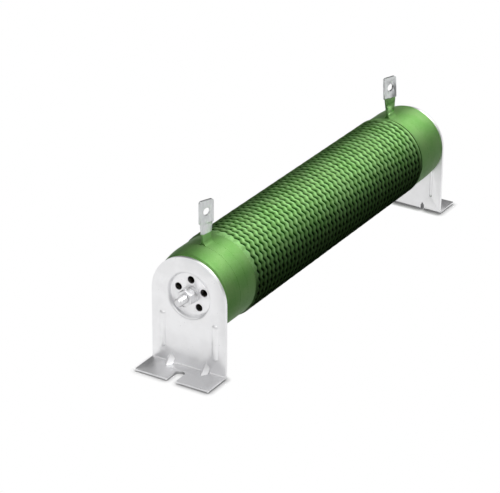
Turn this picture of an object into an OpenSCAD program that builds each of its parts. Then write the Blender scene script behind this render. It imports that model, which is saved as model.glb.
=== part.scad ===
// Tubular power resistor: a ceramic tube with a corrugated ribbon wound round it,
// a strap terminal at each end, and two folded brackets drawn together by a centre rod.
// The tube lies along X, with the origin under its middle on the mounting surface.

/* [Tube] */
// Length of the ceramic tube
tube_length = 296; // [200:1:600]
// Outside diameter of the collars at the ends of the tube
tube_d = 58; // [50:0.5:80]
// Diameter of the bore through the tube
bore_d = 36; // [33:0.5:42]
// Length of the plain collar at each end
collar_length = 32.5; // [26:0.5:60]
// Depth of the winding zone below the collars
core_depth = 1.1; // [0.6:0.1:3]
// Chamfer on the end edges of the tube
tube_chamfer = 1.2; // [0.2:0.1:2]
// Length of the narrowing at each end of the tube
taper_length = 14; // [5:0.5:20]
// How far the tube's radius falls along each narrowing
taper_drop = 1.9; // [0.2:0.1:3]

/* [Winding] */
// Turns of the ribbon along the tube
turns = 45.35; // [20:0.05:45.5]
// Waves of the ribbon in one turn
waves = 31; // [12:1:31]
// Height of the ribbon's crest above the collars
crest_rise = 1; // [0.2:0.1:3]
// Swing of each wave along the tube, to either side
wave_swing = 0.75; // [0.2:0.05:1.1]
// Coat under the grooves between the turns
coat = 0.3; // [0.2:0.05:0.8]
// Plain land between the first or last turn and the end of the winding
end_land = 1.3; // [1.2:0.1:4]
// Open ring between the last turn and the far collar
ring_gap = 1.2; // [0.5:0.1:4]
// Where the ribbon starts, turned from the top away from the front
start_angle = 240; // [0:1:359]

/* [Terminals] */
// Width of the strap along the tube
strap_width = 9; // [6:0.5:14]
// Thickness of the strap
strap_t = 0.8; // [0.4:0.1:1.2]
// Plain collar between the winding and the near strap
near_margin = 9.7; // [1:0.1:14]
// Plain collar between the winding and the far strap
far_margin = 1; // [0.6:0.1:14]
// Turn of the far strap round the tube, away from the front
far_turn = 3; // [0:1:20]
// Bend radius where the strap's ends turn up
strap_bend = 3; // [1.5:0.5:5]
// Height of the neck above the collar
neck_height = 14.4; // [8:0.2:30]
// Twist of the neck
neck_twist = 22; // [0:1:45]
// Height of the tab above the neck
tab_height = 16; // [12:0.2:30]
// Width of the tab
tab_width = 11; // [9:0.1:20]
// Corner radius of the tab
tab_corner = 1.8; // [0.5:0.1:3]
// Diameter of the tab's hole
tab_hole_d = 5.4; // [3:0.1:6.5]

/* [Brackets] */
// Height of the tube's axis above the mounting surface
axis_height = 53.5; // [48:0.5:80]
// Thickness of the bracket's sheet
sheet = 2; // [1.2:0.1:2.5]
// How far the bracket's sides lie inside the sides of the tube
bracket_inset = 0.8; // [-4:0.05:2]
// Drop of the arch's centre below the tube's axis
arch_drop = 1.4; // [0:0.1:5]
// Reach of the foot from the upright face
foot_reach = 20.8; // [18:0.2:40]
// Inside radius of the fold
fold_r = 1; // [0.5:0.1:3]
// Corner radius of the foot
foot_corner = 1; // [0.5:0.5:5]
// Width of the foot's open slot
slot_w = 7; // [5:0.1:9]
// Distance from the upright face to the closed end of the slot
slot_start = 7.5; // [6:0.1:12]
// Rounding at the mouth of the slot
slot_mouth = 1; // [0.5:0.1:3]

/* [Bracket pressings] */
// Depth of the dish that enters the bore
dish_depth = 3.3; // [2:0.1:6]
// Inside radius at the foot of the dish wall
dish_corner = 1.2; // [0.5:0.1:2]
// Rounding of the dish's rim
dish_rim = 1.8; // [0.4:0.1:2.1]
// Number of vent holes round the rod
vents = 5; // [3:1:8]
// Diameter of each vent hole
vent_d = 5.2; // [2:0.1:6]
// Width of the pressed ribs
rib_w = 4.6; // [2.5:0.1:6]
// Height of the ribs above the upright's face
rib_rise = 1.1; // [0.5:0.1:1.2]
// Length of the ribs
rib_length = 26.4; // [10:0.2:30]
// Distance of each rib from the middle
rib_offset = 20; // [15:0.5:22]
// Height of the ribs' lower ends
rib_bottom = 11.5; // [10:0.5:20]
// Width of the pressed corner gussets
gusset_w = 5.5; // [3:0.1:7]
// Distance of each gusset from the middle
gusset_offset = 13.5; // [11:0.5:16]
// Height of the gussets above the foot
gusset_rise = 7; // [5:0.1:9]
// Run of the gussets along the foot
gusset_run = 6.8; // [4:0.1:8]

/* [Rod and fasteners] */
// Diameter of the centre rod
rod_d = 6; // [4:0.1:8]
// Length of rod past each nut
rod_overhang = 7.6; // [1:0.1:10]
// Outside diameter of the flat washers
washer_d = 12; // [10:0.1:16]
// Thickness of the flat washers
washer_t = 1.6; // [0.8:0.1:2.5]
// Outside diameter of the spring washers
spring_d = 11.4; // [9:0.1:16]
// Thickness of the spring washers
spring_t = 1.6; // [0.8:0.1:2.5]
// Gap between the cut ends of a spring washer
spring_cut = 0.8; // [0.4:0.1:2]
// Size of the nuts across their flats
nut_af = 10; // [9:0.1:16]
// Height of the nuts
nut_h = 5; // [3:0.1:8]

/* [Gaskets] */
// Thickness of the gaskets
gasket_t = 1; // [0.5:0.1:3]
// How far the gasket's outside lies within the narrowed end of the tube
gasket_inset = 1.2; // [0:0.1:8]

/* [Fits] */
// Play between the winding, the straps and the tube
seat_play = 0.08; // [0.05:0.01:0.3]
// Play between the dish and the bore
dish_play = 0.5; // [0.2:0.1:1]
// Play of the rod in the bracket and the washers
rod_play = 0.3; // [0.1:0.05:0.6]
// Play of the rod in the nuts
thread_play = 0.06; // [0.03:0.01:0.2]

/* [Hidden] */

$fn = 96;
eps = 0.01;
coat_green = "#6aa85c";
zinc = "#d4d7da";
rod_steel = "#b9bcc0";
fibre = "#d9d6ce";

// Radii of the tube, from the bore outwards
tube_r = tube_d / 2;
end_r = tube_r - taper_drop;
bore_r = bore_d / 2;
core_r = tube_r - core_depth;
crest_r = tube_r + crest_rise;
strap_seat_r = tube_r - strap_t - seat_play;
strap_in_r = tube_r - strap_t;

// Stations along the tube, from its middle
tube_end = tube_length / 2;
shoulder = tube_end - collar_length;
taper_x = tube_end - taper_length;
plate_in = tube_end + gasket_t;
plate_out = plate_in + sheet;
near_strap_x = -shoulder - near_margin - strap_width / 2;
far_strap_x = shoulder + far_margin + strap_width / 2;

// The ribbon's helix: two columns to a wave, a crest row and a groove row to a turn
columns = 2 * waves;
column_angle = 360 / columns;
sleeve_r = (core_r + seat_play) / cos(column_angle / 2);
groove_r = sleeve_r + coat;
sleeve_near = -shoulder + seat_play;
sleeve_far = shoulder - ring_gap;
helix_near = sleeve_near + end_land;
pitch = (sleeve_far - end_land - helix_near) / turns;
crest_last = round(turns * columns);
groove_last = crest_last - columns;

// The terminal's bends
bend_y = strap_t + strap_bend;
bend_z = sqrt(pow(tube_r + strap_bend, 2) - pow(bend_y, 2));
bend_out_r = strap_bend + strap_t;
root_open = 0.4 * strap_bend;
neck_foot = bend_z;
neck_top = tube_r + neck_height;
neck_slices = 8;

// The bracket and its pressings
bracket_width = tube_d - 2 * bracket_inset;
arch_z = axis_height - arch_drop;
fold_out_r = fold_r + sheet;
dish_out_r = bore_r - dish_play;
dish_in_r = dish_out_r - sheet;
floor_r = dish_in_r - dish_corner;
vent_circle_r = (washer_d / 2 + floor_r) / 2;
gasket_r = end_r - gasket_inset;
rib_r = (pow(rib_w / 2, 2) + pow(rib_rise, 2)) / (2 * rib_rise);
rib_axis_x = rib_r - rib_rise;
gusset_len = norm([gusset_run, gusset_rise]);
gusset_tilt = atan2(gusset_run, gusset_rise);
dent_w = gusset_w / 2;
dent_depth = sheet * sqrt(2);

// Stations of the fasteners, out from the dish's floor
floor_x = plate_out - dish_depth;
spring_x = floor_x + washer_t;
nut_x = spring_x + spring_t;
nut_out = nut_x + nut_h;
rod_end = nut_out + rod_overhang;
rod_r = rod_d / 2;
rod_chamfer = rod_r / 4;

// A point at a radius and an angle from the top, turning away from the front
function around(x, r, angle) = [x, r * sin(angle), r * cos(angle)];
function helix_angle(step) = start_angle + step * column_angle;
function helix_x(step) = helix_near + pitch * step / columns + wave_swing * (1 - 2 * (step % 2));

// The two triangles of a four-sided patch
function patch(a, b, c, d) = [[a, b, c], [a, c, d]];
function flatten(groups) = [for (group = groups) each group];

// Puts a shape that is drawn round Z on the tube's axis, with its Z along X
module on_axis() {
    translate([0, 0, axis_height])
        rotate([0, 90, 0])
            children();
}

// Places a shape that is drawn for the near end there, or its mirror image at the far end
module at_end(near) {
    mirror([near ? 0 : 1, 0, 0])
        children();
}

// A ring on the tube's axis, between two stations
module ring(x0, x1, r_in, r_out) {
    on_axis()
        translate([0, 0, x0])
            difference() {
                cylinder(h = x1 - x0, r = r_out);
                translate([0, 0, -eps])
                    cylinder(h = x1 - x0 + 2 * eps, r = r_in);
            }
}

// A rectangle with two corners rounded on its far side
module tongue(length, width, corner) {
    translate([0, -width / 2])
        square([length - corner, width]);
    translate([0, -width / 2 + corner])
        square([length, width - 2 * corner]);
    for (side = [-1, 1])
        translate([length - corner, side * (width / 2 - corner)])
            circle(r = corner);
}

// Half of the tube's section, from the bore to the outside: radius, station
module tube_section() {
    difference() {
        polygon([[bore_r, -tube_end], [end_r, -tube_end], [tube_r, -taper_x],
            [tube_r, taper_x], [end_r, tube_end], [bore_r, tube_end]]);
        translate([core_r, -shoulder])
            square([tube_r - core_r + eps, 2 * shoulder]);
        for (x = [near_strap_x, far_strap_x])
            translate([strap_seat_r, x - strap_width / 2 - seat_play])
                square([tube_r - strap_seat_r + eps, strap_width + 2 * seat_play]);
        for (side = [-1, 1], edge_r = [bore_r, end_r])
            translate([edge_r, side * tube_end])
                rotate(45)
                    square(tube_chamfer * sqrt(2), center = true);
    }
}

module ceramic_tube() {
    color(coat_green)
        on_axis()
            rotate_extrude()
                tube_section();
}

// One closed sleeve: crest and groove rows along the helix, a plain ring at each end, and the inner wall
module ribbon_winding() {
    crests = [for (step = [0 : crest_last])
        around(helix_x(step), crest_r, helix_angle(step))];
    grooves = [for (step = [0 : groove_last])
        around(helix_x(step) + pitch / 2, groove_r, helix_angle(step))];
    ends = [[sleeve_near, tube_r], [sleeve_far, crest_r], [sleeve_near, sleeve_r], [sleeve_far, sleeve_r]];
    rings = [for (end = ends)
        [for (step = [0 : columns - 1]) around(end[0], end[1], helix_angle(step))]];
    groove_0 = crest_last + 1;
    near_0 = groove_0 + groove_last + 1;
    far_0 = near_0 + columns;
    near_in_0 = far_0 + columns;
    far_in_0 = near_in_0 + columns;
    far_at = function (step) far_0 + (groove_last + step) % columns;
    flanks = flatten([for (step = [0 : groove_last - 1]) concat(
        patch(step, step + 1, groove_0 + step + 1, groove_0 + step),
        patch(groove_0 + step, groove_0 + step + 1, step + columns + 1, step + columns))]);
    lands = flatten(concat(
        [for (step = [0 : columns - 2])
            patch(near_0 + step, near_0 + step + 1, step + 1, step)],
        [for (step = [1 : columns - 1])
            patch(groove_last + step, groove_last + step + 1, far_at(step + 1), far_at(step))]));
    near_land = near_0 + columns - 1;
    run_in = concat(
        patch(near_land, near_0, 0, columns - 1),
        [[columns - 1, 0, groove_0], [columns - 1, groove_0, columns]]);
    run_out = concat(
        [[groove_last, groove_last + 1, groove_0 + groove_last], [groove_0 + groove_last, groove_last + 1, crest_last]],
        patch(crest_last, groove_last + 1, far_at(1), far_at(0)));
    walls = flatten([for (step = [0 : columns - 1])
        let (next = (step + 1) % columns) concat(
            patch(near_in_0 + step, near_in_0 + next, near_0 + next, near_0 + step),
            patch(far_0 + step, far_0 + next, far_in_0 + next, far_in_0 + step),
            patch(far_in_0 + step, far_in_0 + next, near_in_0 + next, near_in_0 + step))]);
    color(coat_green)
        translate([0, 0, axis_height])
            polyhedron(points = concat(crests, grooves, flatten(rings)),
                faces = concat(flanks, lands, run_in, run_out, walls));
}

// Section of the strap across the tube: the band, two bends back to back, and the neck
module strap_section() {
    difference() {
        union() {
            circle(r = tube_r);
            translate([-strap_t, 0])
                square([2 * strap_t, neck_foot]);
            for (side = [-1, 1])
                polygon([[0, 0], tube_r / (tube_r + strap_bend) * [side * bend_y, bend_z],
                    [side * bend_y, bend_z], [0, bend_z]]);
        }
        circle(r = strap_in_r);
        for (side = [-1, 1])
            translate([side * bend_y, bend_z])
                circle(r = strap_bend);
        difference() {
            polygon([[0, 0], strap_in_r / (tube_r + strap_bend) * [bend_y, bend_z], [bend_y, bend_z - root_open],
                [-bend_y, bend_z - root_open], strap_in_r / (tube_r + strap_bend) * [-bend_y, bend_z]]);
            for (side = [-1, 1])
                translate([side * bend_y, bend_z])
                    circle(r = bend_out_r);
        }
    }
}

module tab_outline() {
    rotate(90)
        difference() {
            tongue(tab_height, tab_width, tab_corner);
            translate([tab_height / 2, 0])
                circle(d = tab_hole_d);
        }
}

// A terminal round the tube at a station, turned by an angle away from the front
module terminal(x, turn) {
    translate([x, 0, axis_height])
        rotate([-turn, 0, 0]) {
            rotate([90, 0, 90])
                linear_extrude(strap_width, center = true)
                    strap_section();
            translate([0, 0, neck_foot])
                linear_extrude(neck_top - neck_foot, twist = neck_twist, slices = neck_slices, segments = 4)
                    square([strap_width, 2 * strap_t], center = true);
            translate([0, 0, neck_top])
                rotate([90, 0, -neck_twist])
                    linear_extrude(2 * strap_t, center = true)
                        tab_outline();
        }
}

module near_terminal() {
    color(coat_green)
        terminal(near_strap_x, 0);
}

module far_terminal() {
    color(coat_green)
        terminal(far_strap_x, far_turn);
}

// Outline of the upright, looking along the tube
module upright_outline() {
    translate([-bracket_width / 2, sheet + fold_r])
        square([bracket_width, arch_z - sheet - fold_r]);
    translate([0, arch_z])
        circle(d = bracket_width);
}

// Section of the fold, seen from the side
module fold_section() {
    translate([-fold_r, sheet + fold_r])
        intersection() {
            difference() {
                circle(r = fold_out_r);
                circle(r = fold_r);
            }
            translate([0, -fold_out_r])
                square(fold_out_r);
        }
}

// Outline of the foot from above, with its open slot
module foot_outline() {
    mouth_x = -foot_reach;
    slot_r = slot_w / 2;
    difference() {
        translate([-fold_r, 0])
            mirror([1, 0])
                tongue(foot_reach - fold_r, bracket_width, foot_corner);
        translate([-slot_start - slot_r, 0])
            circle(r = slot_r);
        translate([mouth_x - eps, -slot_r])
            square([foot_reach - slot_start - slot_r + eps, slot_w]);
        difference() {
            translate([mouth_x - eps, -slot_r - slot_mouth])
                square([slot_mouth + eps, slot_w + 2 * slot_mouth]);
            for (side = [-1, 1])
                translate([mouth_x + slot_mouth, side * (slot_r + slot_mouth)])
                    circle(r = slot_mouth);
        }
    }
}

// Section of the dish's hollow: radius, depth below the upright's face
module dish_hollow_section() {
    difference() {
        square([dish_in_r, dish_depth]);
        translate([floor_r, dish_depth - dish_corner])
            difference() {
                square(dish_corner + eps);
                circle(r = dish_corner);
            }
    }
    difference() {
        translate([0, -sheet])
            square([dish_in_r + dish_rim, sheet + dish_rim]);
        translate([dish_in_r + dish_rim, dish_rim])
            circle(r = dish_rim);
    }
}

// Section of the dish's outside, which enters the bore
module dish_boss_section() {
    boss_depth = dish_depth + sheet;
    boss_corner = dish_corner + sheet;
    boss_h = boss_depth - sheet / 2;
    translate([0, sheet / 2])
        square([dish_out_r, boss_h - boss_corner]);
    translate([0, sheet / 2])
        square([dish_out_r - boss_corner, boss_h]);
    intersection() {
        translate([dish_out_r - boss_corner, boss_depth - boss_corner])
            circle(r = boss_corner);
        translate([0, sheet / 2])
            square([dish_out_r, boss_h]);
    }
}

// A round-ended bar along the length of a rib
module rib_bar(r) {
    translate([0, 0, rib_bottom + rib_w / 2]) {
        cylinder(h = rib_length - rib_w, r = r);
        for (end = [0, rib_length - rib_w])
            translate([0, 0, end])
                sphere(r = r);
    }
}

// A bar along the slope of a gusset: a ridge at a depth below the slope, with square flanks to its width
module gusset_bar(width, depth) {
    half = width / 2;
    deep = 2 * gusset_len;
    translate([-gusset_run, 0, sheet])
        rotate([0, gusset_tilt, 0])
            translate([depth, 0, -gusset_len])
                linear_extrude(3 * gusset_len)
                    polygon([[0, 0], [half, half], [deep, half], [deep, -half], [half, -half]]);
}

// The bracket of the near end, with its upright's face at X = 0, the tube on +X and the foot on -X
module bracket_blank() {
    rotate([90, 0, 90])
        linear_extrude(sheet)
            upright_outline();
    rotate([90, 0, 0])
        linear_extrude(bracket_width, center = true)
            fold_section();
    linear_extrude(sheet)
        foot_outline();
    translate([0, 0, axis_height])
        rotate([0, 90, 0])
            rotate_extrude()
                dish_boss_section();
    for (side = [-1, 1]) {
        intersection() {
            translate([rib_axis_x, side * rib_offset, 0])
                rib_bar(rib_r);
            translate([-2 * rib_rise, -bracket_width, 0])
                cube([2 * rib_rise + sheet / 2, 2 * bracket_width, 2 * axis_height]);
        }
        intersection() {
            translate([0, side * gusset_offset, 0])
                gusset_bar(gusset_w, 0);
            translate([-foot_reach, -bracket_width, sheet / 2])
                cube([foot_reach + sheet / 2, 2 * bracket_width, axis_height]);
        }
    }
}

module bracket() {
    difference() {
        bracket_blank();
        translate([0, 0, axis_height])
            rotate([0, 90, 0]) {
                rotate_extrude()
                    dish_hollow_section();
                cylinder(h = 2 * (dish_depth + sheet), d = rod_d + 2 * rod_play);
            }
        for (index = [0 : vents - 1])
            translate([0, 0, axis_height])
                rotate([90 + index * 360 / vents, 0, 0])
                    translate([0, vent_circle_r, 0])
                        rotate([0, 90, 0])
                            cylinder(h = 2 * (dish_depth + sheet), d = vent_d);
        for (side = [-1, 1]) {
            translate([sheet, side * rib_offset, 0])
                rib_bar(rib_rise);
            translate([0, side * gusset_offset, 0])
                gusset_bar(dent_w, dent_depth);
        }
    }
}

module near_bracket() {
    color(zinc)
        at_end(true)
            translate([-plate_out, 0, 0])
                bracket();
}

module far_bracket() {
    color(zinc)
        at_end(false)
            translate([-plate_out, 0, 0])
                bracket();
}

module gasket() {
    ring(-plate_in, -tube_end, bore_r, gasket_r);
}

module near_gasket() {
    color(fibre)
        at_end(true)
            gasket();
}

module far_gasket() {
    color(fibre)
        at_end(false)
            gasket();
}

// The rod's section: radius, station
module rod_section() {
    polygon([
        [0, -rod_end], [rod_r - rod_chamfer, -rod_end], [rod_r, -rod_end + rod_chamfer],
        [rod_r, rod_end - rod_chamfer], [rod_r - rod_chamfer, rod_end], [0, rod_end]]);
}

module centre_rod() {
    color(rod_steel)
        on_axis()
            rotate_extrude()
                rod_section();
}

module flat_washer() {
    ring(-spring_x, -floor_x, rod_r + rod_play, washer_d / 2);
}

module near_flat_washer() {
    color(zinc)
        at_end(true)
            flat_washer();
}

module far_flat_washer() {
    color(zinc)
        at_end(false)
            flat_washer();
}

// A spring washer pressed flat, with its cut towards the top
module spring_washer() {
    difference() {
        ring(-nut_x, -spring_x, rod_r + rod_play, spring_d / 2);
        translate([-nut_x - eps, -spring_cut / 2, axis_height])
            cube([spring_t + 2 * eps, spring_cut, spring_d]);
    }
}

module near_spring_washer() {
    color(rod_steel)
        at_end(true)
            spring_washer();
}

module far_spring_washer() {
    color(rod_steel)
        at_end(false)
            spring_washer();
}

// A hexagon nut with its corners taken off on both faces
module nut() {
    corner_r = nut_af / sqrt(3);
    crown_r = nut_af / 2;
    crown_h = (corner_r - crown_r) / 2;
    on_axis()
        translate([0, 0, -nut_out])
            difference() {
                intersection() {
                    cylinder(h = nut_h, r = corner_r, $fn = 6);
                    rotate_extrude()
                        polygon([[0, 0], [crown_r, 0], [corner_r, crown_h], [corner_r, nut_h - crown_h],
                            [crown_r, nut_h], [0, nut_h]]);
                }
                translate([0, 0, -eps])
                    cylinder(h = nut_h + 2 * eps, r = rod_r + thread_play);
            }
}

module near_nut() {
    color(zinc)
        at_end(true)
            nut();
}

module far_nut() {
    color(zinc)
        at_end(false)
            nut();
}

ceramic_tube();
ribbon_winding();
near_terminal();
far_terminal();
near_bracket();
far_bracket();
near_gasket();
far_gasket();
centre_rod();
near_flat_washer();
far_flat_washer();
near_spring_washer();
far_spring_washer();
near_nut();
far_nut();
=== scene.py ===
"""Looks of a tubular power resistor with a corrugated ribbon winding under a green coat."""

import math

import bmesh
import bpy
from bpy.props import FloatProperty, FloatVectorProperty, IntProperty, PointerProperty
from mathutils import Matrix, Vector


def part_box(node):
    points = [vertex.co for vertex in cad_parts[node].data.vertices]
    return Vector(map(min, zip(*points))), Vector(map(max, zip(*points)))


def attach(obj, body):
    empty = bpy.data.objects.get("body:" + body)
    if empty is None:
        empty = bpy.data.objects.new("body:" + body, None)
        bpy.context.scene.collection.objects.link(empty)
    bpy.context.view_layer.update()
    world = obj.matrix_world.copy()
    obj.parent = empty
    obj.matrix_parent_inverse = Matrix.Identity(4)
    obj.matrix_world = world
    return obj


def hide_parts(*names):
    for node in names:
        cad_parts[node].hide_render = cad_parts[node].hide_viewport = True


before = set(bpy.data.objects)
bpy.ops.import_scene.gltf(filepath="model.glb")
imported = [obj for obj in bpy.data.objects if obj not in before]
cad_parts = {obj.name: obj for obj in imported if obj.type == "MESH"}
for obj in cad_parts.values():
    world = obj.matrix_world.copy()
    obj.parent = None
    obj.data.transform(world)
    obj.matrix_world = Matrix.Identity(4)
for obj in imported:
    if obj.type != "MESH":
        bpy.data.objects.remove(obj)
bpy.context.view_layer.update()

bl_info = {
    "name": "Corrugated Ribbon Resistor",
    "version": (1, 0, 0),
    "blender": (4, 5, 0),
    "location": "View3D > Sidebar > Resistor",
    "description": "Winds, coats and plates a tubular power resistor around its solid model",
    "category": "Object",
}

MM = 0.001
BODY = "root"
SHARP_DEGREES = 32.0

# The frame's own sizes, which every piece below starts from
SLEEVE_LOW, SLEEVE_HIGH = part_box("ribbon_winding")
TUBE_LOW, TUBE_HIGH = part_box("ceramic_tube")
ROD_LOW, ROD_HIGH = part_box("centre_rod")
NUT_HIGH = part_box("near_nut")[1]
AXIS_Z = (TUBE_LOW.z + TUBE_HIGH.z) / 2
TUBE_R = (TUBE_HIGH.z - TUBE_LOW.z) / 2
CREST_R = (SLEEVE_HIGH.z - SLEEVE_LOW.z) / 2
ROD_R = (ROD_HIGH.z - ROD_LOW.z) / 2


class CoatSettings(bpy.types.PropertyGroup):
    """The green coat"""

    light: FloatVectorProperty(
        name="Light green", description="Colour where the coat is thick", subtype="COLOR",
        default=(0.225, 0.44, 0.142), min=0.0, max=1.0)
    deep: FloatVectorProperty(
        name="Deep green", description="Colour where the coat is thin", subtype="COLOR",
        default=(0.165, 0.39, 0.097), min=0.0, max=1.0)
    # Painted shade: this near-black green is blended into the grooves and into the ring beside the
    # winding.
    groove: FloatVectorProperty(
        name="Groove green", description="Colour at the bottom of the grooves", subtype="COLOR",
        default=(0.01, 0.05, 0.008), min=0.0, max=1.0)
    # Painted highlight: this light green is blended onto the ribbon's crests and onto the coat on the
    # terminals' necks.
    crest: FloatVectorProperty(
        name="Crest green", description="Colour on the ribbon's crests", subtype="COLOR",
        default=(0.37, 0.69, 0.265), min=0.0, max=1.0)
    clay: FloatVectorProperty(
        name="Bare ceramic", description="Colour of the uncoated bore", subtype="COLOR",
        default=(0.56, 0.5, 0.41), min=0.0, max=1.0)
    roughness: FloatProperty(
        name="Roughness", description="Roughness of the satin coat", subtype="FACTOR",
        default=0.44, min=0.0, max=1.0)
    lustre: FloatProperty(
        name="Lustre", description="Share of the smooth coat that shines in its own green",
        subtype="FACTOR", default=0.28, min=0.0, max=1.0)
    taper: FloatProperty(
        name="Taper", description="Length of the narrowing at each end of the tube",
        default=14.0 * MM, unit="LENGTH")
    near_drop: FloatProperty(
        name="Near drop", description="How far the tube's radius falls at the near end",
        default=1.9 * MM, unit="LENGTH")
    far_drop: FloatProperty(
        name="Far drop", description="How far the tube's radius falls at the far end",
        default=0.8 * MM, unit="LENGTH")
    taper_steps: IntProperty(
        name="Taper steps", description="Rings of faces along each narrowing", default=7, min=2)
    near_line: FloatProperty(
        name="Near line", description="How high above the tube the near terminal is coated",
        default=7.5 * MM, unit="LENGTH")
    far_line: FloatProperty(
        name="Far line", description="How high above the tube the far terminal is coated",
        default=14.6 * MM, unit="LENGTH")


class WindingSettings(bpy.types.PropertyGroup):
    """The corrugated ribbon"""

    turns: FloatProperty(
        name="Turns", description="Turns of the ribbon along the tube", default=45.35, min=5.0)
    waves: IntProperty(
        name="Waves", description="Waves of the ribbon in one turn", default=35, min=4)
    drift: FloatProperty(
        name="Drift", description="Part of a wave that each turn is ahead of the last", default=0.08)
    swing: FloatProperty(
        name="Swing", description="Swing of a wave along the tube, to either side",
        default=0.74 * MM, unit="LENGTH")
    swing_spread: FloatProperty(
        name="Swing spread", description="How much the waves differ in their swing",
        subtype="FACTOR", default=0.14, min=0.0, max=1.0)
    groove_depth: FloatProperty(
        name="Groove depth", description="Depth of the grooves between the turns",
        default=1.7 * MM, unit="LENGTH")
    lean: FloatProperty(
        name="Lean", description="How much shallower the groove is on every other limb of the waves",
        subtype="FACTOR", default=0.6, min=0.0, max=1.0)
    groove_share: FloatProperty(
        name="Groove share", description="Share of the pitch that a groove and its flanks take",
        subtype="FACTOR", default=0.8, min=0.1, max=1.0)
    unevenness: FloatProperty(
        name="Unevenness", description="How far the turns stray along the tube and in height",
        default=0.084 * MM, unit="LENGTH")
    wall: FloatProperty(
        name="Wall", description="Thickness of the coat under the grooves",
        default=0.3 * MM, unit="LENGTH")
    end_land: FloatProperty(
        name="End land", description="Plain land at each end of the winding",
        default=1.3 * MM, unit="LENGTH")
    near_lap: FloatProperty(
        name="Near lap", description="How far the coat laps over the near collar",
        default=0.07 * MM, unit="LENGTH")
    near_ramp: FloatProperty(
        name="Near ramp", description="Length over which the winding rises from the near collar",
        default=2.2 * MM, unit="LENGTH")
    far_ramp: FloatProperty(
        name="Far ramp", description="Length over which the winding falls at its far edge",
        default=1.5 * MM, unit="LENGTH")
    far_sink: FloatProperty(
        name="Far sink", description="How far the far edge ends below the collar's surface",
        default=0.3 * MM, unit="LENGTH")
    start_angle: FloatProperty(
        name="Start", description="Where the ribbon starts, turned from the top", subtype="ANGLE",
        default=math.radians(240))
    run_out: FloatProperty(
        name="Run-out", description="Length of the plain groove after the last wave", subtype="ANGLE",
        default=math.radians(44))
    wave_steps: IntProperty(
        name="Steps in a wave", description="Columns of faces in one wave", default=8, min=3)
    rows: IntProperty(
        name="Rows in a turn", description="Rows of faces across one turn", default=7, min=4)


class MetalSettings(bpy.types.PropertyGroup):
    """The bare and plated metal"""

    zinc: FloatVectorProperty(
        name="Zinc", description="Colour of the plated brackets", subtype="COLOR",
        default=(0.95, 0.95, 0.96), min=0.0, max=1.0)
    # Painted shade: the top faces of the feet take this darker colour for the shade on them.
    foot_shade: FloatVectorProperty(
        name="Foot", description="Colour of the duller top of the feet", subtype="COLOR",
        default=(0.68, 0.68, 0.69), min=0.0, max=1.0)
    speck: FloatVectorProperty(
        name="Specks", description="Colour of the dull specks in the zinc", subtype="COLOR",
        default=(0.42, 0.43, 0.44), min=0.0, max=1.0)
    tin: FloatVectorProperty(
        name="Tin", description="Colour of the tinned tabs", subtype="COLOR",
        default=(0.7, 0.72, 0.72), min=0.0, max=1.0)
    steel: FloatVectorProperty(
        name="Fastener steel", description="Colour of the nuts, washers and rod", subtype="COLOR",
        default=(0.92, 0.92, 0.93), min=0.0, max=1.0)
    sheet: FloatProperty(
        name="Sheet", description="Thickness of the brackets' sheet", default=2.0 * MM, unit="LENGTH")
    edge: FloatProperty(
        name="Edge", description="Width of the rounding on the brackets' edges",
        default=0.45 * MM, unit="LENGTH")
    strap_edge: FloatProperty(
        name="Strap edge", description="Width of the rounding on the terminals' free edges",
        default=0.15 * MM, unit="LENGTH")
    pitch: FloatProperty(
        name="Thread pitch", description="Pitch of the rod's thread", default=1.0 * MM, unit="LENGTH")


class StageSettings(bpy.types.PropertyGroup):
    """The camera and the light"""

    lens: FloatProperty(
        name="Lens", description="Focal length on a 36 mm sensor, in mm", unit="CAMERA", default=165.48)
    stand: FloatVectorProperty(
        name="Camera place", description="Where the camera stands", subtype="TRANSLATION",
        default=(-1.2508, -0.7162, 0.7199), unit="LENGTH")
    yaw: FloatProperty(
        name="Yaw", description="Turn of the view from +X towards +Y", subtype="ANGLE",
        default=math.radians(31.36))
    pitch: FloatProperty(
        name="Pitch", description="Tilt of the view, down is negative", subtype="ANGLE",
        default=math.radians(-25.686))
    roll: FloatProperty(
        name="Roll", description="Roll of the camera", subtype="ANGLE", default=math.radians(0.424))
    key_power: FloatProperty(
        name="Key light", description="Power of the key light in watts", unit="POWER", default=1.45)
    key_place: FloatVectorProperty(
        name="Key place", description="Where the key light hangs", subtype="TRANSLATION",
        default=(-1.1, -0.6, 1.1), unit="LENGTH")
    key_size: FloatProperty(
        name="Key size", description="Width of the key light", default=0.45, unit="LENGTH")
    back_power: FloatProperty(
        name="Back light", description="Power of the back light in watts", unit="POWER", default=2.4)
    back_place: FloatVectorProperty(
        name="Back place", description="Where the back light hangs, from the middle of the tube",
        subtype="TRANSLATION", default=(0.92, -0.1, 0.76), unit="LENGTH")
    back_size: FloatProperty(
        name="Back size", description="Width of the back light", default=0.5, unit="LENGTH")
    strip_power: FloatProperty(
        name="Strip light", description="Power of the gridded strip over the tube in watts",
        unit="POWER", default=0.0335)
    strip_turn: FloatProperty(
        name="Strip turn", description="Where the strip hangs, turned from the top to the front",
        subtype="ANGLE", default=math.radians(27.5))
    strip_height: FloatProperty(
        name="Strip height", description="How far from the tube's axis the strip hangs",
        default=0.75, unit="LENGTH")
    strip_length: FloatProperty(
        name="Strip length", description="Length of the strip", default=0.34, unit="LENGTH")
    strip_width: FloatProperty(
        name="Strip width", description="Width of the strip", default=12.0 * MM, unit="LENGTH")
    strip_spread: FloatProperty(
        name="Strip spread", description="Width of the strip's beam", subtype="ANGLE",
        default=math.radians(3.9))
    ambient: FloatProperty(
        name="Ambient", description="Strength of the light from all round", default=0.016)
    mirrored: FloatProperty(
        name="Mirrored room", description="Brightness of the room in polished metal", default=0.9)


class ResistorSettings(bpy.types.PropertyGroup):
    """All the settings of the resistor"""

    coat: PointerProperty(type=CoatSettings)
    winding: PointerProperty(type=WindingSettings)
    metal: PointerProperty(type=MetalSettings)
    stage: PointerProperty(type=StageSettings)


def settings():
    """The resistor's settings in the open scene."""
    return bpy.context.scene.resistor


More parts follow.
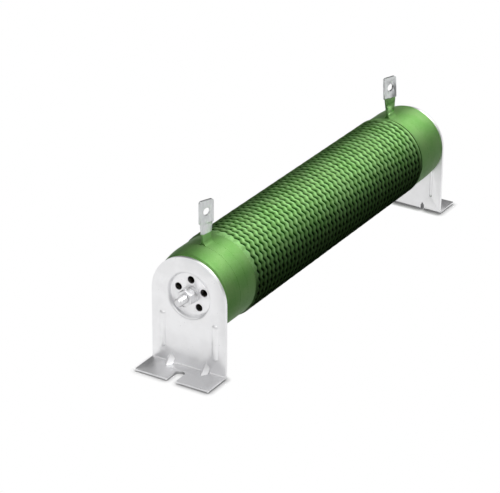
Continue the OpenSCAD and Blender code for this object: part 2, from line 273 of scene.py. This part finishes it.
class Wire:
    """A shader value: arithmetic on it adds Math nodes to its sheet."""

    def __init__(self, sheet, socket):
        self.sheet = sheet
        self.socket = socket

    def math(self, operation, *values):
        return self.sheet.node("ShaderNodeMath", {"operation": operation}, dict(enumerate(values)))

    def __add__(self, other):
        return self.math("ADD", self, other)

    def __radd__(self, other):
        return self.math("ADD", other, self)

    def __sub__(self, other):
        return self.math("SUBTRACT", self, other)

    def __rsub__(self, other):
        return self.math("SUBTRACT", other, self)

    def __mul__(self, other):
        return self.math("MULTIPLY", self, other)

    def __rmul__(self, other):
        return self.math("MULTIPLY", other, self)

    def __pow__(self, other):
        return self.math("POWER", self, other)

    def __abs__(self):
        return self.math("ABSOLUTE", self)

    def smooth(self, low, high):
        """0 below low, 1 above high, and a smooth rise between them; high may be the lower one."""
        return self.sheet.node(
            "ShaderNodeMapRange", {"interpolation_type": "SMOOTHSTEP", "clamp": True},
            {"Value": self, "From Min": low, "From Max": high, "To Min": 0.0, "To Max": 1.0})


class Sheet:
    """The node sheet of one material or world."""

    def __init__(self, owner):
        owner.use_nodes = True
        self.tree = owner.node_tree
        self.tree.nodes.clear()

    def node(self, kind, options=None, sockets=None, out=0):
        """Adds a node, sets its options, then its sockets, and returns one of its outputs."""
        made = self.tree.nodes.new(kind)
        for name, value in (options or {}).items():
            setattr(made, name, value)
        for name, value in (sockets or {}).items():
            if isinstance(value, Wire):
                self.tree.links.new(value.socket, made.inputs[name])
            else:
                made.inputs[name].default_value = value
        return Wire(self, made.outputs[out]) if made.outputs else None

    def place(self):
        """The point on the piece, in the part's own frame."""
        return self.node("ShaderNodeTexCoord", out="Object")

    def split(self, vector):
        """The three numbers of a vector."""
        first = self.node("ShaderNodeSeparateXYZ", sockets={0: vector})
        return [Wire(self, output) for output in first.socket.node.outputs]

    def stretch(self, vector, scale):
        """A vector scaled along each axis."""
        return self.node("ShaderNodeVectorMath", {"operation": "MULTIPLY"}, {0: vector, 1: scale})

    def noise(self, vector, scale, detail=3.0, roughness=0.5):
        """Soft random clouds between 0 and 1."""
        return self.node(
            "ShaderNodeTexNoise", {"noise_dimensions": "3D"},
            {"Vector": vector, "Scale": scale, "Detail": detail, "Roughness": roughness})

    def scatter(self, vector, scale):
        """Distance to the nearest of many scattered points."""
        return self.node(
            "ShaderNodeTexVoronoi", {"feature": "F1"},
            {"Vector": vector, "Scale": scale, "Randomness": 1.0})

    def blend(self, factor, first, second):
        """A colour between two colours."""
        colours = [colour if isinstance(colour, Wire) else (*colour, 1.0) for colour in (first, second)]
        return self.node(
            "ShaderNodeMix", {"data_type": "RGBA", "blend_type": "MIX"},
            {0: factor, 6: colours[0], 7: colours[1]}, out=2)

    def bump(self, height, strength, distance):
        """A normal that follows a height."""
        return self.node(
            "ShaderNodeBump", sockets={"Height": height, "Strength": strength, "Distance": distance})

    def surface(self, **sockets):
        """Ends a material in one Principled shader; socket names have _ for a space."""
        named = {name.replace("_", " "): value for name, value in sockets.items()}
        shader = self.node("ShaderNodeBsdfPrincipled", sockets=named)
        self.node("ShaderNodeOutputMaterial", sockets={"Surface": shader})


def material(name):
    """A new material and its empty sheet."""
    made = bpy.data.materials.new(name)
    return made, Sheet(made)


def darker(colour, share):
    """A colour with each of its parts scaled down."""
    return tuple(part * share for part in colour)


def from_axis(sheet, place):
    """Distance of a point from the tube's axis, and its station along the tube."""
    x, y, z = sheet.split(place)
    up = z - AXIS_Z
    return (y * y + up * up) ** 0.5, x


def coat_colour(sheet, place, coat):
    """The coat's mottled green: broad clouds and fine grain."""
    clouds = sheet.noise(place, scale=70.0, detail=4.0)
    grain = sheet.noise(place, scale=900.0, detail=2.0)
    thickness = (clouds * 0.7 + grain * 0.3).smooth(0.32, 0.66)
    return sheet.blend(thickness, coat.deep, coat.light)


def orange_peel(sheet, place):
    """The fine waviness of the dried coat."""
    return sheet.noise(place, scale=620.0, detail=2.0, roughness=0.45)


def coat_bump(sheet, place, strength):
    """The coat's orange peel, with a few pinholes."""
    pinholes = sheet.scatter(place, scale=420.0).smooth(0.0, 0.16)
    height = orange_peel(sheet, place) + pinholes * 0.35
    return sheet.bump(height, strength, 0.12 * MM)


def winding_coat():
    """The coat over the ribbon, with painted shade in its grooves and a painted highlight on its crests.
    """
    coat = settings().coat
    made, sheet = material("winding_coat")
    place = sheet.place()
    smudge = sheet.noise(place, scale=300.0)
    depth = sheet.node("ShaderNodeAttribute", {"attribute_name": "sunk"}, out="Fac")
    # Painted shade: the grooves are blended towards the near-black groove green.
    sunk = (depth + (smudge - 0.5) * 0.3).smooth(0.08, 0.65)
    # Painted highlight: the crests are blended towards the light crest green.
    crest_highlight = (depth + (smudge - 0.5) * 0.4).smooth(0.12, -0.05)
    skin = sheet.blend(crest_highlight * 0.8, coat_colour(sheet, place, coat), coat.crest)
    colour = sheet.blend(sunk, skin, coat.groove)
    roughness = coat.roughness + 0.06 + sunk * 0.3 + (smudge - 0.5) * 0.12
    sheet.surface(
        Base_Color=colour, Roughness=roughness, Specular_IOR_Level=0.0,
        Normal=coat_bump(sheet, place, strength=0.25))
    return made


def tube_coat():
    """The coat on the collars, bare ceramic in the bore, and painted shade in the ring by the winding.
    """
    coat = settings().coat
    made, sheet = material("tube_coat")
    place = sheet.place()
    r, x = from_axis(sheet, place)
    ragged = (sheet.noise(place, scale=260.0) - 0.5) * (1.6 * MM)
    bare = (r + ragged).smooth(TUBE_R - 4.0 * MM, TUBE_R - 7.0 * MM)
    beside = abs(x).smooth(SLEEVE_HIGH.x + 3.0 * MM, SLEEVE_HIGH.x + 1.6 * MM)
    # Painted shade: the ring where the tube dips beside the winding is blended towards the near-black
    # groove green.
    seam_shade = r.smooth(TUBE_R - 0.15 * MM, TUBE_R - 0.7 * MM) * beside
    green = sheet.blend(seam_shade, coat_colour(sheet, place, coat), coat.groove)
    colour = sheet.blend(bare, green, coat.clay)
    roughness = coat.roughness + bare * 0.3 + (sheet.noise(place, scale=180.0) - 0.5) * 0.14
    sheet.surface(
        Base_Color=colour, Roughness=roughness, Metallic=coat.lustre * (1 - bare),
        Specular_IOR_Level=0.03, Normal=coat_bump(sheet, place, strength=0.35))
    return made


def terminal_finish(name, line_z):
    """A tinned strap, coated green up to a ragged line at a height, with painted light on the coat above
    the tube.
    """
    coat, metal = settings().coat, settings().metal
    made, sheet = material(name)
    place = sheet.place()
    z = sheet.split(place)[2]
    ragged = (sheet.noise(place, scale=330.0) - 0.5) * (2.2 * MM)
    painted = (z + ragged).smooth(line_z + 0.15 * MM, line_z - 0.15 * MM)
    scuff = sheet.noise(sheet.stretch(place, (1.0, 1.0, 0.25)), scale=900.0)
    tin = sheet.blend(scuff.smooth(0.35, 0.7), darker(metal.tin, 0.86), metal.tin)
    # Painted light: the coat on the neck above the tube is lightened towards the light crest green.
    neck_light = z.smooth(TUBE_HIGH.z + 0.5 * MM, TUBE_HIGH.z + 4.0 * MM)
    paint = sheet.blend(neck_light * 0.7, coat_colour(sheet, place, coat), coat.crest)
    colour = sheet.blend(painted, tin, paint)
    roughness = painted * coat.roughness + (1 - painted) * (0.3 + scuff * 0.16)
    height = painted * (0.6 + orange_peel(sheet, place) * 0.4) + (1 - painted) * scuff * 0.12
    sheet.surface(
        Base_Color=colour, Roughness=roughness, Metallic=1 - painted * (1 - coat.lustre),
        Specular_IOR_Level=0.03, Normal=sheet.bump(height, 0.5, 0.12 * MM))
    return made


def zinc_plate():
    """Bright zinc on rolled sheet: upright rolling lines, soft clouds, dull specks, and feet whose top
    is painted darker as shade and is a little rougher.
    """
    metal = settings().metal
    made, sheet = material("zinc_plate")
    place = sheet.place()
    rolled = sheet.noise(sheet.stretch(place, (1.0, 1.0, 0.06)), scale=1500.0, roughness=0.6)
    clouds = sheet.noise(place, scale=95.0)
    dull = sheet.scatter(place, scale=330.0).smooth(0.13, 0.05) * clouds.smooth(0.45, 0.6)
    tone = sheet.blend(clouds.smooth(0.3, 0.7), darker(metal.zinc, 0.93), metal.zinc)
    z = sheet.split(place)[2]
    top = metal.sheet
    # Painted shade: the top faces of the feet are darkened, and made a little rougher.
    foot_shade = z.smooth(top - 0.25 * MM, top - 0.08 * MM) * z.smooth(top + 0.5 * MM, top + 0.2 * MM)
    grain = sheet.noise(place, scale=1100.0, detail=2.0)
    tone = sheet.blend(foot_shade * (0.65 + grain * 0.35), tone, metal.foot_shade)
    colour = sheet.blend(dull * 0.35, tone, metal.speck)
    roughness = 0.34 + (rolled - 0.5) * 0.16 + (clouds - 0.5) * 0.12 + dull * 0.2 + foot_shade * 0.08
    sheet.surface(
        Base_Color=colour, Roughness=roughness, Metallic=0.95,
        Normal=sheet.bump(rolled * 0.5 + clouds * 0.5, 0.12, 0.08 * MM))
    return made


def fastener_zinc(name, brightness):
    """Zinc-plated turned steel with fine rings from the tool and worn high spots."""
    metal = settings().metal
    made, sheet = material(name)
    place = sheet.place()
    r, x = from_axis(sheet, place)
    section = sheet.node("ShaderNodeCombineXYZ", sockets={0: r, 1: x})
    rings = sheet.noise(section, scale=5200.0, detail=2.0)
    handled = sheet.noise(place, scale=420.0)
    bright = darker(metal.steel, brightness)
    colour = sheet.blend(handled.smooth(0.35, 0.68), darker(bright, 0.88), bright)
    roughness = 0.42 + (rings - 0.5) * 0.18 + (handled - 0.5) * 0.16
    sheet.surface(
        Base_Color=colour, Roughness=roughness, Metallic=0.9,
        Normal=sheet.bump(rings * 0.6 + handled * 0.4, 0.16, 0.05 * MM))
    return made


def gasket_fibre():
    """Pale pressed fibre."""
    made, sheet = material("gasket_fibre")
    place = sheet.place()
    strands = sheet.noise(
        sheet.stretch(place, (0.3, 1.0, 1.0)), scale=1600.0, detail=4.0, roughness=0.65)
    shade, pale = (0.56, 0.54, 0.5), (0.72, 0.7, 0.65)
    colour = sheet.blend(strands.smooth(0.35, 0.7), shade, pale)
    sheet.surface(
        Base_Color=colour, Roughness=0.78 + strands * 0.18, Specular_IOR_Level=0.3,
        Normal=sheet.bump(strands, 0.5, 0.15 * MM))
    return made


def dress(piece, finish):
    """Gives a piece or a CAD node its material."""
    piece.data.materials.clear()
    piece.data.materials.append(finish)


def add_object(name, shape):
    """Puts a modelled shape in the scene."""
    mesh = bpy.data.meshes.new(name)
    shape.to_mesh(mesh)
    shape.free()
    made = bpy.data.objects.new(name, mesh)
    bpy.context.scene.collection.objects.link(made)
    return made


def add_piece(name, shape, node):
    """Puts a modelled shape in the scene as a piece that stands for a CAD node."""
    piece = add_object(name, shape)
    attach(piece, BODY)
    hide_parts(node)
    return piece


def smooth_copy(node):
    """A copy of a CAD node's mesh, with its triangles merged and its faces shaded smoothly."""
    same_point = 0.002 * MM
    flat = math.radians(0.4)
    shape = bmesh.new()
    shape.from_mesh(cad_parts[node].data)
    bmesh.ops.remove_doubles(shape, verts=shape.verts, dist=same_point)
    bmesh.ops.dissolve_limit(
        shape, angle_limit=flat, use_dissolve_boundaries=False,
        verts=shape.verts, edges=shape.edges)
    for face in shape.faces:
        face.smooth = True
    return shape


def round_edges(piece, width, degrees=SHARP_DEGREES, limit="ANGLE"):
    """Rounds a piece's sharp or weighted edges."""
    rounding = piece.modifiers.new("edges", "BEVEL")
    rounding.width = width
    rounding.segments = 2
    rounding.limit_method = limit
    rounding.angle_limit = math.radians(degrees)
    rounding.profile = 0.5
    rounding.use_clamp_overlap = True
    rounding.harden_normals = True


def cut_across(shape, x, outward=1.0, trim=False):
    """Cuts a shape across at a station, trims what lies beyond if asked, and returns the cut."""
    return bmesh.ops.bisect_plane(
        shape, geom=shape.verts[:] + shape.edges[:] + shape.faces[:], dist=1e-7,
        plane_co=(x, 0, 0), plane_no=(outward, 0, 0), clear_outer=trim)["geom_cut"]


def spoke(point):
    """The way from the tube's axis straight out to a point."""
    return Vector((0.0, point.y, point.z - AXIS_Z))


def at_radius(point, r):
    """A point moved straight in or out to a distance from the tube's axis."""
    moved = spoke(point).normalized() * r
    return Vector((point.x, moved.y, AXIS_Z + moved.z))


def smooth_step(share):
    """0 up to 0, 1 from 1 on, and a smooth rise between them."""
    share = min(1.0, max(0.0, share))
    return share * share * (3 - 2 * share)


def zigzag(phase):
    """A wave between -1 and 1 with straight limbs and slightly rounded tips."""
    sharpness = 0.93
    return math.asin(sharpness * math.sin(phase)) / math.asin(sharpness)


def groove_profile(across, share):
    """0 on the ribbon and 1 at the bottom of the groove; the groove is in the middle of the strip."""
    return 1.0 - smooth_step(abs(across) / (share / 2))


class RESISTOR_OT_coat_tube(bpy.types.Operator):
    """Rounds the narrowed ends of the ceramic tube and coats its collars"""

    bl_idname = "resistor.coat_tube"
    bl_label = "Coat the tube"

    def execute(self, context):
        coat = settings().coat
        start = TUBE_HIGH.x - coat.taper
        skin_depth = 1.3 * MM
        skin_r = TUBE_R - coat.near_drop - skin_depth
        curve = 1.5
        crisp = math.radians(50)
        shape = smooth_copy("ceramic_tube")
        for side in (-1, 1):
            for step in range(1, coat.taper_steps):
                cut_across(shape, side * (start + coat.taper * step / coat.taper_steps))
        for vert in shape.verts:
            along = (abs(vert.co.x) - start) / coat.taper
            r = spoke(vert.co).length
            if along > 0 and r > skin_r:
                drop = coat.near_drop if vert.co.x < 0 else coat.far_drop
                straight = coat.near_drop * along
                curved = drop * along ** curve
                vert.co = at_radius(vert.co, r + straight - curved)
        for edge in shape.edges:
            edge.smooth = edge.calc_face_angle(0.0) < crisp
        piece = add_piece("coated_tube", shape, "ceramic_tube")
        dress(piece, tube_coat())
        return {"FINISHED"}


class RESISTOR_OT_wind_ribbon(bpy.types.Operator):
    """Winds the corrugated ribbon as one helical sleeve"""

    bl_idname = "resistor.wind_ribbon"
    bl_label = "Wind the ribbon"

    def execute(self, context):
        ribbon = settings().winding
        near_x = SLEEVE_LOW.x - ribbon.near_lap
        far_x = SLEEVE_HIGH.x
        strip = self.wind_strip(ribbon, near_x, far_x)
        cut_across(strip, near_x, outward=-1.0, trim=True)
        cut_across(strip, far_x, trim=True)
        self.close_sleeve(strip, CREST_R - ribbon.groove_depth - ribbon.wall)
        for face in strip.faces:
            face.smooth = True
        piece = add_piece("corrugated_winding", strip, "ribbon_winding")
        dress(piece, winding_coat())
        return {"FINISHED"}

    def wind_strip(self, ribbon, near_x, far_x):
        """A strip one pitch wide, wound with its waves and with a groove along its middle."""
        spare_turns = 2
        groove_fade, wave_fade = 0.04, 0.05
        inside = 0.02 * MM
        height = CREST_R - TUBE_R
        helix_near = near_x + ribbon.end_land
        pitch = (far_x - ribbon.end_land - helix_near) / ribbon.turns
        last_groove = ribbon.turns - 1.0
        last_wave = last_groove + 0.5 - ribbon.run_out / math.tau
        columns = ribbon.waves * ribbon.wave_steps
        steps = round((ribbon.turns + 2 * spare_turns) * columns)
        strip = bmesh.new()
        mark = strip.verts.layers.float.new("sunk")
        bmesh.ops.create_grid(strip, x_segments=steps, y_segments=ribbon.rows, size=0.5)
        for vert in strip.verts:
            along = round((vert.co.x + 0.5) * steps) / columns - spare_turns
            across = vert.co.y
            angle = along * math.tau
            station = along + across + 0.5
            # The turns stray a little from even winding: along the tube, in their waves and in height
            stray = math.sin(3 * angle + 2.3 * station) + 0.6 * math.sin(11 * angle - 4.1 * station)
            spread = 1.0 + ribbon.swing_spread * math.sin(2 * angle + 5.3 * station)
            dip = 0.5 + 0.5 * math.sin(7 * angle + 3.7 * station)
            phase = ribbon.waves * angle + ribbon.drift * station * math.tau
            swing = ribbon.swing * spread * smooth_step((last_wave - station) / wave_fade)
            x = helix_near + pitch * station + swing * zigzag(phase) + ribbon.unevenness * stray
            cut = smooth_step(along / groove_fade) * smooth_step((last_groove - along) / groove_fade)
            limb = 0.5 + 0.5 * math.cos(phase)
            sunk = cut * groove_profile(across, ribbon.groove_share) * (1 - ribbon.lean * limb)
            rise = height * smooth_step((x - near_x) / ribbon.near_ramp)
            fall = (height + ribbon.far_sink) * (1 - smooth_step((far_x - x) / ribbon.far_ramp))
            crest = TUBE_R + rise - fall - inside - ribbon.unevenness * dip
            r = crest - ribbon.groove_depth * sunk
            turned = ribbon.start_angle + angle
            vert[mark] = sunk
            vert.co = (x, r * math.sin(turned), AXIS_Z + r * math.cos(turned))
        bmesh.ops.remove_doubles(strip, verts=strip.verts, dist=0.005 * MM)
        return strip

    def close_sleeve(self, strip, bore_r):
        """Turns both rims in to the bore and joins them by the bore's wall."""
        rims = [edge for edge in strip.edges if edge.is_boundary]
        for item in bmesh.ops.extrude_edge_only(strip, edges=rims)["geom"]:
            if isinstance(item, bmesh.types.BMVert):
                item.co = at_radius(item.co, bore_r)
        loops = [edge for edge in strip.edges if edge.is_boundary]
        bmesh.ops.bridge_loops(strip, edges=loops)
        bmesh.ops.recalc_face_normals(strip, faces=strip.faces)


class RESISTOR_OT_form_terminals(bpy.types.Operator):
    """Forms the strap terminals with rounded edges, tinned above the coat"""

    bl_idname = "resistor.form_terminals"
    bl_label = "Form the terminals"

    def execute(self, context):
        coat, metal = settings().coat, settings().metal
        for node, line in (("near_terminal", coat.near_line), ("far_terminal", coat.far_line)):
            shape = smooth_copy(node)
            self.sort_edges(shape)
            piece = add_piece(node + "_strap", shape, node)
            round_edges(piece, metal.strap_edge, limit="WEIGHT")
            dress(piece, terminal_finish(node + "_finish", TUBE_HIGH.z + line))
        return {"FINISHED"}

    def sort_edges(self, shape):
        """Weights the sharp edges that stand clear of the tube, and keeps those on the tube crisp."""
        clear_z = TUBE_HIGH.z + 2.0 * MM
        weight = shape.edges.layers.float.new("bevel_weight_edge")
        for edge in shape.edges:
            if edge.calc_face_angle(0.0) > math.radians(SHARP_DEGREES):
                clear = all(vert.co.z > clear_z for vert in edge.verts)
                edge[weight] = 1.0 if clear else 0.0
                edge.smooth = clear


class RESISTOR_OT_press_brackets(bpy.types.Operator):
    """Presses the two end brackets from plated sheet"""

    bl_idname = "resistor.press_brackets"
    bl_label = "Press the brackets"

    def execute(self, context):
        plate = zinc_plate()
        for node in ("near_bracket", "far_bracket"):
            piece = add_piece(node + "_plate", smooth_copy(node), node)
            round_edges(piece, settings().metal.edge)
            dress(piece, plate)
        return {"FINISHED"}


class RESISTOR_OT_thread_rod(bpy.types.Operator):
    """Cuts a thread on both ends of the centre rod"""

    bl_idname = "resistor.thread_rod"
    bl_label = "Thread the rod"

    def execute(self, context):
        pitch = settings().metal.pitch
        start = -NUT_HIGH.x - 2 * pitch
        rod = bmesh.new()
        for turn in (math.pi, 0.0):
            thread = self.cut_thread(pitch, start, ROD_HIGH.x)
            bmesh.ops.rotate(
                thread, verts=thread.verts, cent=(0, 0, 0), matrix=Matrix.Rotation(turn, 3, "Z"))
            bmesh.ops.translate(thread, verts=thread.verts, vec=(0, 0, AXIS_Z))
            bmesh.ops.recalc_face_normals(thread, faces=thread.faces)
            end = bpy.data.meshes.new("thread")
            thread.to_mesh(end)
            thread.free()
            rod.from_mesh(end)
            bpy.data.meshes.remove(end)
        bmesh.ops.create_cone(
            rod, cap_ends=True, segments=64, radius1=ROD_R, radius2=ROD_R, depth=2 * start,
            matrix=Matrix.Translation((0, 0, AXIS_Z)) @ Matrix.Rotation(math.pi / 2, 4, "Y"))
        for face in rod.faces:
            face.smooth = len(face.verts) == 4
        piece = add_piece("threaded_rod", rod, "centre_rod")
        dress(piece, fastener_zinc("rod_zinc", 0.92))
        return {"FINISHED"}

    def cut_thread(self, pitch, start, tip):
        """A closed length of thread round the X axis, with a chamfer at its tip."""
        depth_share = 0.61
        root_r = ROD_R - depth_share * pitch
        chamfer = ROD_R / 4
        root_flat, crest_flat = 0.14, 0.06
        steps_in_turn = 40
        turns = math.ceil((tip - start) / pitch) + 2
        profile = (
            (0.0, root_r), (root_flat, root_r), (0.5 - crest_flat, ROD_R),
            (0.5 + crest_flat, ROD_R), (1.0 - root_flat, root_r), (1.0, root_r))
        thread = bmesh.new()
        points = [thread.verts.new((start - pitch + u * pitch, 0, r)) for u, r in profile]
        edges = [thread.edges.new(pair) for pair in zip(points, points[1:])]
        bmesh.ops.spin(
            thread, geom=points + edges, cent=(0, 0, 0), axis=(1, 0, 0),
            dvec=(pitch / steps_in_turn, 0, 0), angle=turns * math.tau, steps=turns * steps_in_turn,
            use_merge=False)
        bmesh.ops.remove_doubles(thread, verts=thread.verts, dist=0.004 * MM)
        for vert in thread.verts:
            r = math.hypot(vert.co.y, vert.co.z)
            capped = min(r, ROD_R - chamfer + max(0.0, tip - vert.co.x))
            vert.co.y *= capped / r
            vert.co.z *= capped / r
        for x, outward in ((start, -1.0), (tip, 1.0)):
            cut = cut_across(thread, x, outward, trim=True)
            rim = [item for item in cut if isinstance(item, bmesh.types.BMEdge)]
            bmesh.ops.edgeloop_fill(thread, edges=rim)
        return thread


class RESISTOR_OT_seat_fasteners(bpy.types.Operator):
    """Seats the plated nuts and washers on the rod"""

    bl_idname = "resistor.seat_fasteners"
    bl_label = "Seat the fasteners"

    def execute(self, context):
        plated = fastener_zinc("fastener_zinc", 1.0)
        edges = {"flat_washer": 0.18 * MM, "spring_washer": 0.22 * MM, "nut": 0.2 * MM}
        for kind, width in edges.items():
            for end in ("near", "far"):
                node = f"{end}_{kind}"
                piece = add_piece(node + "_plated", smooth_copy(node), node)
                round_edges(piece, width, degrees=25.0)
                dress(piece, plated)
        return {"FINISHED"}


class RESISTOR_OT_lay_gaskets(bpy.types.Operator):
    """Finishes the fibre gaskets at the ends of the tube"""

    bl_idname = "resistor.lay_gaskets"
    bl_label = "Lay the gaskets"

    def execute(self, context):
        fibre = gasket_fibre()
        for node in ("near_gasket", "far_gasket"):
            dress(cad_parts[node], fibre)
        return {"FINISHED"}


class RESISTOR_OT_set_stage(bpy.types.Operator):
    """Lays the pale floor and places the light and the camera"""

    bl_idname = "resistor.set_stage"
    bl_label = "Set the stage"

    WHITE = (1.0, 1.0, 1.0, 1.0)

    def execute(self, context):
        stage = settings().stage
        scene = context.scene
        scene.view_settings.view_transform = "Standard"
        self.light_world(scene, stage)
        self.lay_floor()
        self.hang_lamps(scene, stage)
        self.place_camera(scene, stage)
        return {"FINISHED"}

    def rays(self, sheet):
        """1 for the rays that show the background, and 1 for those that are mirrored in a piece."""
        shown = sheet.node("ShaderNodeLightPath", out="Is Camera Ray")
        return shown, Wire(sheet, shown.socket.node.outputs["Is Glossy Ray"])

    def light_world(self, scene, stage):
        """A white background, a dim all-round light, and a room with a dark card to be mirrored."""
        scene.world = scene.world or bpy.data.worlds.new("studio")
        sheet = Sheet(scene.world)
        shown, mirrored = self.rays(sheet)
        x, y, z = sheet.split(sheet.node("ShaderNodeTexCoord", out="Generated"))
        towards_card = x * 0.77 + y * 0.47 + z * 0.43
        room = 0.16 + 0.84 * z.smooth(0.1, 0.36) * towards_card.smooth(0.97, 0.74)
        strength = shown + mirrored * room * stage.mirrored + (1 - shown - mirrored) * stage.ambient
        shader = sheet.node("ShaderNodeBackground", sockets={"Color": self.WHITE, "Strength": strength})
        sheet.node("ShaderNodeOutputWorld", sockets={"Surface": shader})

    def openness(self, sheet, reach):
        """1 on open floor, and less where something stands within reach."""
        return sheet.node("ShaderNodeAmbientOcclusion", {"samples": 8}, {"Distance": reach}, out="AO")

    def lay_floor(self):
        """A white floor that keeps the shadow at the feet."""
        shape = bmesh.new()
        bmesh.ops.create_grid(shape, x_segments=1, y_segments=1, size=6.0)
        floor = add_object("floor", shape)
        made, sheet = material("pale_floor")
        shown, mirrored = self.rays(sheet)
        glow = sheet.node("ShaderNodeEmission", sockets={"Color": self.WHITE, "Strength": 1.0})
        # Painted shadow: ambient occlusion darkens the floor's glow at the feet, and in reflections
        # under the tube and in the slot.
        close = self.openness(sheet, 4.0 * MM)
        wide = self.openness(sheet, 120.0 * MM)
        clear = close.smooth(0.72, 0.92)
        tone = sheet.blend(shown + mirrored * clear, (0.05, 0.05, 0.05), (0.95, 0.95, 0.95))
        card = sheet.node("ShaderNodeBsdfDiffuse", sockets={"Color": tone})
        shown_glow = 0.12 + 0.88 * close ** 3.0
        mirrored_glow = (0.83 + 0.14 * wide) * (0.2 + 0.8 * clear)
        share = shown * shown_glow + mirrored * mirrored_glow
        shader = sheet.node("ShaderNodeMixShader", sockets={0: share, 1: card, 2: glow})
        sheet.node("ShaderNodeOutputMaterial", sockets={"Surface": shader})
        dress(floor, made)

    def hang_lamps(self, scene, stage):
        """A key light, a back light and a narrow gridded strip, all turned to the tube."""
        middle = Vector((0.0, 0.0, AXIS_Z))
        above = Vector((0.0, -math.sin(stage.strip_turn), math.cos(stage.strip_turn)))
        strip_place = middle + stage.strip_height * above
        back_place = middle + Vector(stage.back_place)
        key_place = Vector(stage.key_place)
        lamps = (
            ("key", key_place, stage.key_size, stage.key_size, math.pi, stage.key_power),
            ("back", back_place, stage.back_size, stage.back_size, math.pi, stage.back_power),
            ("strip", strip_place, stage.strip_length, stage.strip_width, stage.strip_spread,
             stage.strip_power),
        )
        for name, place, length, width, spread, power in lamps:
            data = bpy.data.lights.new(name, "AREA")
            data.shape = "RECTANGLE"
            data.size = length
            data.size_y = width
            data.spread = spread
            data.energy = power
            lamp = bpy.data.objects.new(name, data)
            lamp.location = place
            lamp.rotation_euler = (middle - place).to_track_quat("-Z", "Y").to_euler()
            scene.collection.objects.link(lamp)

    def place_camera(self, scene, stage):
        """The camera, by its place, yaw, pitch and roll."""
        data = bpy.data.cameras.new("view")
        data.sensor_fit = "HORIZONTAL"
        data.sensor_width = 36.0
        data.lens = stage.lens
        data.clip_start = 0.05
        camera = bpy.data.objects.new("view", data)
        forward = Vector((
            math.cos(stage.pitch) * math.cos(stage.yaw),
            math.cos(stage.pitch) * math.sin(stage.yaw),
            math.sin(stage.pitch)))
        right = Vector((math.sin(stage.yaw), -math.cos(stage.yaw), 0.0))
        up = right.cross(forward)
        level = Matrix((right, up, -forward)).transposed().to_4x4()
        roll = Matrix.Rotation(stage.roll, 4, "Z")
        camera.matrix_world = Matrix.Translation(stage.stand) @ level @ roll
        scene.collection.objects.link(camera)
        scene.camera = camera


class RESISTOR_PT_panel(bpy.types.Panel):
    """The steps and settings of the resistor"""

    bl_idname = "RESISTOR_PT_panel"
    bl_label = "Resistor"
    bl_space_type = "VIEW_3D"
    bl_region_type = "UI"
    bl_category = "Resistor"

    def draw(self, context):
        for operator in OPERATORS:
            self.layout.operator(operator.bl_idname)
        for group in (settings().coat, settings().winding, settings().metal, settings().stage):
            box = self.layout.box()
            for name in group.bl_rna.properties.keys():
                if name not in ("rna_type", "name"):
                    box.prop(group, name)


OPERATORS = (
    RESISTOR_OT_set_stage,
    RESISTOR_OT_coat_tube,
    RESISTOR_OT_wind_ribbon,
    RESISTOR_OT_form_terminals,
    RESISTOR_OT_press_brackets,
    RESISTOR_OT_thread_rod,
    RESISTOR_OT_seat_fasteners,
    RESISTOR_OT_lay_gaskets,
)
GROUPS = (CoatSettings, WindingSettings, MetalSettings, StageSettings, ResistorSettings)
CLASSES = GROUPS + OPERATORS + (RESISTOR_PT_panel,)


def register():
    for cls in CLASSES:
        bpy.utils.register_class(cls)
    bpy.types.Scene.resistor = PointerProperty(type=ResistorSettings)


def unregister():
    del bpy.types.Scene.resistor
    for cls in reversed(CLASSES):
        bpy.utils.unregister_class(cls)


def main():
    register()
    for operator in OPERATORS:
        group, name = operator.bl_idname.split(".")
        getattr(getattr(bpy.ops, group), name)()


if __name__ == "__main__":
    main()
